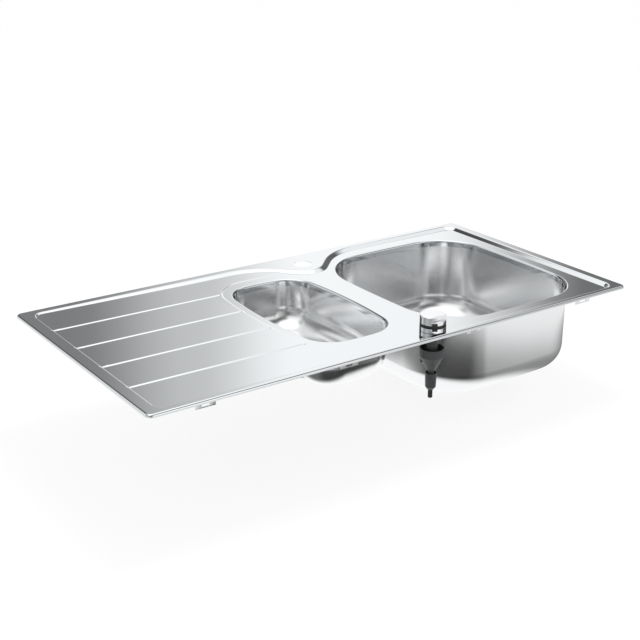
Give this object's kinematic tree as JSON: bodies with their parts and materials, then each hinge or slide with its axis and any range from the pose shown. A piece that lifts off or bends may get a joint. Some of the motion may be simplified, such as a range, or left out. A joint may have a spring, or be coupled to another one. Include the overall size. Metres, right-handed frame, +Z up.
{
  "type": "kitchen sink",
  "caption": "Inset steel sink with a grooved drainer, a half bowl and a main bowl, a tap ledge, and a deck knob that lifts the main waste's strainer.",
  "frame": {"origin": "centre of the sink's outline at the level of the worktop's surface, where the rim's seal rests", "axes": "+X along the sink's length, from the drainer to the main bowl; +Y to the wall behind, where the tap ledge is; +Z up"},
  "size_m": [1, 0.5, 0.2537],
  "materials": {
    "satin_steel": "satin pressed stainless sheet",
    "polished_chrome": "polished",
    "stainless_trim": "bright pressed stainless",
    "galvanised": "zinc-plated sheet",
    "black_plastic": "moulded, fine grain",
    "grey_plastic": "moulded, fine grain",
    "white_plastic": "moulded polypropylene",
    "black_rubber": "soft, matt",
    "foam": "closed-cell foam",
    "bitumen_pad": "damping sheet",
    "brass_nickel": "nickel-plated"
  },
  "bodies": {
    "sink": {"deck": "satin_steel", "main_bowl": "satin_steel", "half_bowl": "satin_steel", "main_sound_pad": "bitumen_pad", "half_sound_pads": "bitumen_pad", "front_clip_brackets": "galvanised", "rear_clip_brackets": "galvanised", "rim_seal": "foam", "knob_gasket": "black_rubber", "knob_base": "polished_chrome", "threaded_shank": "grey_plastic", "fixing_washer": "grey_plastic", "fixing_nut": "grey_plastic", "actuator_housing": "grey_plastic", "cable_coupler": "grey_plastic", "cable_gland": "black_rubber", "main_waste_flange": "stainless_trim", "main_top_seal": "black_rubber", "main_bottom_seal": "black_rubber", "main_waste_body": "white_plastic", "main_clamp_screw": "brass_nickel", "lever_pin": "stainless_trim", "waste_cable_gland": "grey_plastic", "half_waste_flange": "stainless_trim", "half_top_seal": "black_rubber", "half_bottom_seal": "black_rubber", "half_waste_body": "white_plastic", "half_clamp_screw": "stainless_trim", "overflow_rosette": "stainless_trim", "overflow_screw": "stainless_trim", "overflow_gasket": "black_rubber", "overflow_elbow": "black_plastic"},
    "knob": {"knob_index_ring": "black_plastic", "control_knob": "polished_chrome", "knob_spindle": "grey_plastic"},
    "carrier": {"cable_carrier": "grey_plastic"},
    "lever": {"lift_lever": "grey_plastic"},
    "pin": {"lift_pin": "stainless_trim"},
    "main_strainer": {"main_basket": "stainless_trim", "main_basket_seal": "black_rubber", "main_basket_grip": "polished_chrome"},
    "half_strainer": {"half_basket": "stainless_trim", "half_basket_seal": "black_rubber", "half_basket_grip": "polished_chrome"}
  },
  "joints": [
    {"name": "knob_turn", "type": "hinge", "parent": "sink", "child": "knob", "pos_m": [0.0645, -0.2085, 0.0145], "axis": [0, 0, 1], "range_deg": [0, 90]},
    {"name": "carrier_slide", "type": "slide", "parent": "sink", "child": "carrier", "axis": [0, 0, 1], "range_m": [0, 0.00622]},
    {"name": "lever_tilt", "type": "hinge", "parent": "sink", "child": "lever", "pos_m": [0.2537, -0.007, -0.199], "axis": [0, -1, 0], "range_deg": [0, 30]},
    {"name": "lift_pin_rise", "type": "slide", "parent": "sink", "child": "pin", "axis": [0, 0, 1], "range_m": [0, 0.00792]},
    {"name": "main_basket_lift", "type": "slide", "parent": "pin", "child": "main_strainer", "axis": [0, 0, 1], "range_m": [0, 0.05]},
    {"name": "half_basket_lift", "type": "slide", "parent": "sink", "child": "half_strainer", "axis": [0, 0, 1], "range_m": [0, 0.05]}
  ],
  "couplings": [
    {"joint": "carrier_slide", "follows": "knob_turn", "m_per_rad": 0.003954},
    {"joint": "lever_tilt", "follows": "knob_turn", "ratio": 0.3333},
    {"joint": "lift_pin_rise", "follows": "knob_turn", "m_per_rad": 0.005041}
  ]
}
